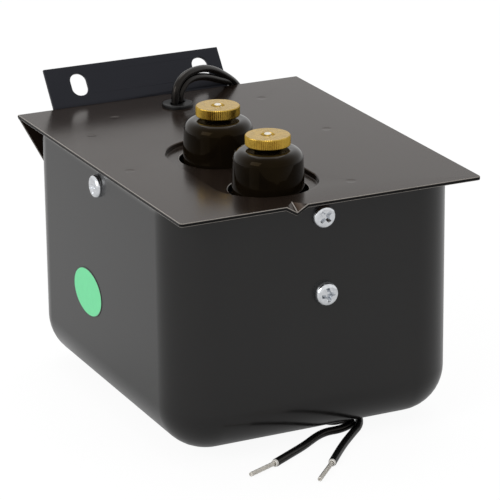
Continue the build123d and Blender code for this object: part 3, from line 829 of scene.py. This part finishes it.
nickel = nickel_plate()
for place, y in zip(("front", "back"), terminal_y):
    bm = bmesh.new()
    root = 1.42
    tip = [(root, stud_top - 0.25), (root - 0.3, stud_top), (0, stud_top)]
    turned_outline(bm, [(0, stud_bottom), (root, stud_bottom)] + tip, terminal_x, y, 24)
    tooth = [(root - 0.05, 0.0), (1.75, thread_pitch / 2), (root - 0.05, thread_pitch)]
    verts = [bm.verts.new((terminal_x + r * mm, y, (stud_bottom + h) * mm)) for r, h in tooth]
    edges = [bm.edges.new(pair) for pair in zip(verts, verts[1:])]
    turns = int((stud_top - stud_bottom - 1.4) / thread_pitch)
    bmesh.ops.spin(
        bm, geom=verts + edges, cent=(terminal_x, y, 0), axis=(0, 0, 1), angle=2 * pi * turns,
        dvec=(0, 0, thread_pitch * mm / 20), steps=20 * turns, use_merge=False,
    )
    bmesh.ops.recalc_face_normals(bm, faces=bm.faces)
    stud = new_piece(f"threaded_stud_{place}", bm, nickel)
    smooth_between(stud, 30)
    stands_for(stud, "nickel_stud", f"terminal_stud_{place}")

# Thumb nuts
# Flat round nuts turned from brass bar: a fine straight knurl on the edge, facing marks in rings
# on top, and a countersink round the stud.


def turned_brass(name, centre_y):
    """Brass faced on a lathe: yellow gold, satin, with rings 0.25 mm apart and a slightly duller patina."""
    material, tree, shader = new_material(name)
    place = add_node(tree, "TexCoord")
    local = add_node(
        tree, "Mapping", {"Vector": place.outputs["Object"], "Location": (-terminal_x, -centre_y, 0)},
        vector_type="POINT",
    )
    flat = add_node(tree, "Mapping", {"Vector": local.outputs[0], "Scale": (1, 1, 0)})
    reach = add_node(tree, "VectorMath", {0: flat.outputs[0]}, operation="LENGTH")
    rings = add_node(tree, "Math", {0: reach.outputs["Value"], 1: 2 * pi / (0.25 * mm)}, operation="MULTIPLY")
    rings = add_node(tree, "Math", {0: rings.outputs[0]}, operation="SINE")
    patina = add_node(tree, "TexNoise", {"Vector": place.outputs["Object"], "Scale": 420.0, "Detail": 4.0})
    height = add_node(tree, "Math", {0: rings.outputs[0], 1: patina.outputs["Fac"]}, operation="ADD")
    tone = add_node(tree, "ValToRGB", {0: patina.outputs["Fac"]})
    tone.color_ramp.elements[0].color = linear("#8c7028")
    tone.color_ramp.elements[1].color = linear("#cca84c")
    gloss = add_node(tree, "MapRange", {0: patina.outputs["Fac"], 3: 0.2, 4: 0.34})
    relief = add_node(tree, "Bump", {"Height": height.outputs[0], "Strength": 0.5, "Distance": 0.012 * mm})
    tree.links.new(tone.outputs[0], shader.inputs["Base Color"])
    tree.links.new(gloss.outputs[0], shader.inputs["Roughness"])
    tree.links.new(relief.outputs["Normal"], shader.inputs["Normal"])
    shader.inputs["Metallic"].default_value = 1.0
    return material


for place, y in zip(("front", "back"), terminal_y):
    bm = bmesh.new()
    knurls = 72
    profile = [
        (1.8, 15.3), (8.4, 15.3), (8.75, 15.65), (8.75, 19.05),
        (8.4, 19.4), (2.75, 19.4), (2.2, 18.4), (1.8, 18.4),
    ]
    turned_outline(bm, profile, terminal_x, y, 2 * knurls)
    step = pi / knurls
    grooves = [
        vert for vert in bm.verts
        if hypot(vert.co.x - terminal_x, vert.co.y - y) > 8.6 * mm
        and round((vert.co - Vector((terminal_x, y, 0))).xy.angle_signed(Vector((1, 0))) / step) % 2
    ]
    bmesh.ops.scale(bm, verts=grooves, vec=(0.968, 0.968, 1), space=Matrix.Translation((-terminal_x, -y, 0)))
    brass = turned_brass(f"turned_brass_{place}", y)
    nut = new_piece(f"knurled_nut_{place}", bm, brass)
    nut.data.shade_smooth()
    nut.data.set_sharp_from_angle(angle=radians(25))
    stands_for(nut, "turned_brass", f"thumb_nut_{place}")
dressed(brass, "terminal_nuts")

# Screws
# Zinc-plated pan-head screws with a cross recess: three hold the cover's tabs through the can's
# wall, and two larger ones lower down hold the core's clamps. The front and left cover screws stand
# where the photograph shows them, up to 2.7 mm off the CAD's.
clamp_screw_x = 0.8 * mm
clamp_screw_z = -40.3 * mm
cover_screw_x = 0.1 * mm
cover_screw_z = -9.1 * mm
front_y = can_y - can_d / 2
back_y = can_y + can_d / 2
side_x = can_w / 2
left_screw_y = 3.9 * mm
left_screw_z = -9.6 * mm
right_screw_y = 6.5 * mm
right_screw_z = -10.1 * mm


def zinc_plate():
    """Bright zinc on cold-headed steel: cool silver with faint streaks and darker handling marks."""
    material, tree, shader = new_material("bright_zinc_plate")
    place = add_node(tree, "TexCoord")
    streak = add_node(tree, "TexNoise", {"Vector": place.outputs["Object"], "Scale": 900.0, "Detail": 4.0})
    tone = add_node(tree, "ValToRGB", {0: streak.outputs["Fac"]})
    tone.color_ramp.elements[0].color = linear("#b9bcc0")
    tone.color_ramp.elements[1].color = linear("#e9ebee")
    gloss = add_node(tree, "MapRange", {0: streak.outputs["Fac"], 3: 0.07, 4: 0.18})
    tree.links.new(tone.outputs[0], shader.inputs["Base Color"])
    tree.links.new(gloss.outputs[0], shader.inputs["Roughness"])
    shader.inputs["Metallic"].default_value = 1.0
    return material


def cross_head_screw(bm, head_r, head_h, place):
    """One pan-head screw with its head's underside at the origin and its shank along -Z, then placed."""
    older = set(bm.verts)
    flat_r = head_r * 0.62
    crown = [
        (flat_r, head_h), (head_r * 0.8, head_h * 0.93), (head_r * 0.92, head_h * 0.74),
        (head_r * 0.99, head_h * 0.42), (head_r, head_h * 0.2), (head_r * 0.98, 0.0),
        (2.4, 0.0), (2.4, -6.5), (1.9, -7.0),
    ]
    loops = [round_loop(bm, radius * mm, 0, 0, height * mm, 40) for radius, height in crown]
    for upper, lower in zip(loops, loops[1:]):
        bmesh.ops.bridge_loops(bm, edges=upper + lower)
    bmesh.ops.contextual_create(bm, geom=loops[-1])
    arm, half, inner = head_r * 0.59 * mm, head_r * 0.14 * mm, head_r * 0.2 * mm
    cross = []
    for quarter in range(4):
        turn = Matrix.Rotation(quarter * pi / 2, 4, "Z")
        for x, y in ((arm, -half), (arm, half), (inner, inner)):
            cross.append(bm.verts.new(turn @ Vector((x, y, head_h * mm))))
    rim = [bm.edges.new(pair) for pair in zip(cross, cross[1:] + cross[:1])]
    bmesh.ops.triangle_fill(bm, use_beauty=True, edges=loops[0] + rim, normal=(0, 0, 1))
    geom = bmesh.ops.extrude_edge_only(bm, edges=rim)["geom"]
    deep = [item for item in geom if isinstance(item, bmesh.types.BMVert)]
    new_edges = [item for item in geom if isinstance(item, bmesh.types.BMEdge)]
    low_rim = [edge for edge in new_edges if all(v in deep for v in edge.verts)]
    bmesh.ops.translate(bm, verts=deep, vec=(0, 0, -0.62 * head_h * mm))
    bmesh.ops.scale(bm, verts=deep, vec=(0.5, 0.5, 1))
    bmesh.ops.contextual_create(bm, geom=low_rim)
    fresh = [vert for vert in bm.verts if vert not in older]
    bmesh.ops.transform(bm, verts=fresh, matrix=place)


def facing(x, y, z, turn_x, turn_y, twist):
    """Where a screw goes: its place, which way its head faces, and how far it was turned in."""
    place = Matrix.Translation((x, y, z)) @ Matrix.Rotation(radians(turn_x), 4, "X")
    return place @ Matrix.Rotation(radians(turn_y), 4, "Y") @ Matrix.Rotation(radians(twist), 4, "Z")


zinc = zinc_plate()
for name, node, head_r, head_h, places in (
    ("cover_screw_set", "cover_screws", 4.7, 2.3, (
        facing(cover_screw_x, front_y, cover_screw_z, 90, 0, 42),
        facing(-side_x, left_screw_y, left_screw_z, 0, -90, 12),
        facing(side_x, right_screw_y, right_screw_z, 0, 90, 63),
    )),
    ("clamp_screw_set", "clamp_screws", 4.9, 3.2, (
        facing(clamp_screw_x, front_y, clamp_screw_z, 90, 0, 8),
        facing(clamp_screw_x, back_y, clamp_screw_z, -90, 0, 30),
    )),
):
    bm = bmesh.new()
    for place in places:
        cross_head_screw(bm, head_r, head_h, place)
    bmesh.ops.recalc_face_normals(bm, faces=bm.faces)
    screws = new_piece(name, bm, zinc)
    smooth_between(screws, 35)
    stands_for(screws, "zinc_screw", node)

# Lead grommet
# Moulded black rubber, snapped into the cover's round hole: a flat flange above and below the
# sheet, and one slot that both leads pass through.
grommet_y = 62.4 * mm
lead_angle = radians(29)


def moulded_rubber():
    """Moulded rubber: black with a greyish bloom, dull, with the fine grain of the mould."""
    material, tree, shader = new_material("moulded_black_rubber")
    place = add_node(tree, "TexCoord")
    bloom = add_node(tree, "TexNoise", {"Vector": place.outputs["Object"], "Scale": 300.0, "Detail": 4.0})
    tone = add_node(tree, "ValToRGB", {0: bloom.outputs["Fac"]})
    tone.color_ramp.elements[0].color = linear("#080808")
    tone.color_ramp.elements[1].color = linear("#101010")
    relief = add_node(tree, "Bump", {"Height": bloom.outputs["Fac"], "Strength": 0.3, "Distance": 0.05 * mm})
    tree.links.new(tone.outputs[0], shader.inputs["Base Color"])
    tree.links.new(relief.outputs["Normal"], shader.inputs["Normal"])
    shader.inputs["Roughness"].default_value = 0.35
    shader.inputs["Specular Tint"].default_value = linear("#a8a8a8")
    return material


bm = bmesh.new()
levels = [("round", 5.9, 1.4), ("round", 6.3, 1.25), ("round", 6.5, 0.9), ("round", 6.5, 0.0)]
levels += [("round", 4.9, 0.0), ("round", 4.9, -1.5), ("round", 6.5, -1.5), ("round", 6.5, -2.9)]
levels += [("round", 6.0, -3.4)]
levels += [("slot", 1.65, -3.4), ("slot", 1.65, 1.0), ("slot", 1.95, 1.3), ("slot", 2.3, 1.4)]
loops = []
for shape, radius, height in levels:
    turned = Matrix.Rotation(pi / 48, 4, "Z")
    verts = bmesh.ops.create_circle(bm, segments=48, radius=radius * mm, matrix=turned)["verts"]
    if shape == "slot":
        for side in (-1, 1):
            half = [v for v in verts if side * v.co.x > 0]
            bmesh.ops.translate(bm, verts=half, vec=(side * 1.7 * mm, 0, 0))
    bmesh.ops.rotate(bm, verts=verts, matrix=Matrix.Rotation(lead_angle, 3, "Z"))
    bmesh.ops.translate(bm, verts=verts, vec=(0, grommet_y, height * mm))
    loops.append(edge_loop(verts))
for one, other in zip(loops, loops[1:] + loops[:1]):
    bmesh.ops.bridge_loops(bm, edges=one + other)
bmesh.ops.recalc_face_normals(bm, faces=bm.faces)
grommet = new_piece("rubber_grommet", bm, moulded_rubber())
smooth_between(grommet, 40)
stands_for(grommet, "grommet_rubber", "lead_grommet")

# Oval sticker
# A plain oval paper sticker with a gloss film, on the left wall. It is left bare, with one thin
# dark band coloured round its edge.
label_y = 16.8 * mm
label_z = -58.0 * mm
label_w = 28.6 * mm
label_h = 20.0 * mm
label_t = 0.15 * mm


def film_paper(name, colour, faded, gloss):
    """Coated sticker paper under a clear film: flat even ink, faint fibres, a soft gloss."""
    material, tree, shader = new_material(name)
    place = add_node(tree, "TexCoord")
    fibre = add_node(tree, "TexNoise", {"Vector": place.outputs["Object"], "Scale": 500.0, "Detail": 5.0})
    tone = add_node(tree, "ValToRGB", {0: fibre.outputs["Fac"]})
    tone.color_ramp.elements[0].color = linear(faded)
    tone.color_ramp.elements[1].color = linear(colour)
    relief = add_node(tree, "Bump", {"Height": fibre.outputs["Fac"], "Strength": 0.1, "Distance": 0.05 * mm})
    tree.links.new(tone.outputs[0], shader.inputs["Base Color"])
    tree.links.new(relief.outputs["Normal"], shader.inputs["Normal"])
    shader.inputs["Roughness"].default_value = gloss
    return material


bm = bmesh.new()
bmesh.ops.create_circle(bm, cap_ends=True, segments=72, radius=1.0)
bmesh.ops.scale(bm, verts=bm.verts, vec=(label_w / 2, label_h / 2, 1))
border = bmesh.ops.inset_region(
    bm, faces=list(bm.faces), thickness=0.5 * mm, use_boundary=True, use_even_offset=True
)["faces"]
for face in border:
    face.material_index = 1
upright = Matrix(((0, 0, -1, -side_x), (1, 0, 0, label_y), (0, 1, 0, label_z), (0, 0, 0, 1)))
bmesh.ops.transform(bm, verts=bm.verts, matrix=upright)
bmesh.ops.recalc_face_normals(bm, faces=bm.faces)
if sum(face.normal.x * face.calc_area() for face in bm.faces) > 0:
    bmesh.ops.reverse_faces(bm, faces=bm.faces)
sticker = new_piece("oval_sticker", bm, film_paper("green_film_paper", "#72eaa5", "#6ae09c", 0.4))
# A thin dark band coloured round the sticker's edge.
sticker.data.materials.append(film_paper("dark_edge_band", "#16281e", "#122219", 0.4))
backing = sticker.modifiers.new("paper", "SOLIDIFY")
backing.thickness = label_t
backing.offset = 1
stands_for(sticker, "green_sticker", "oval_label")
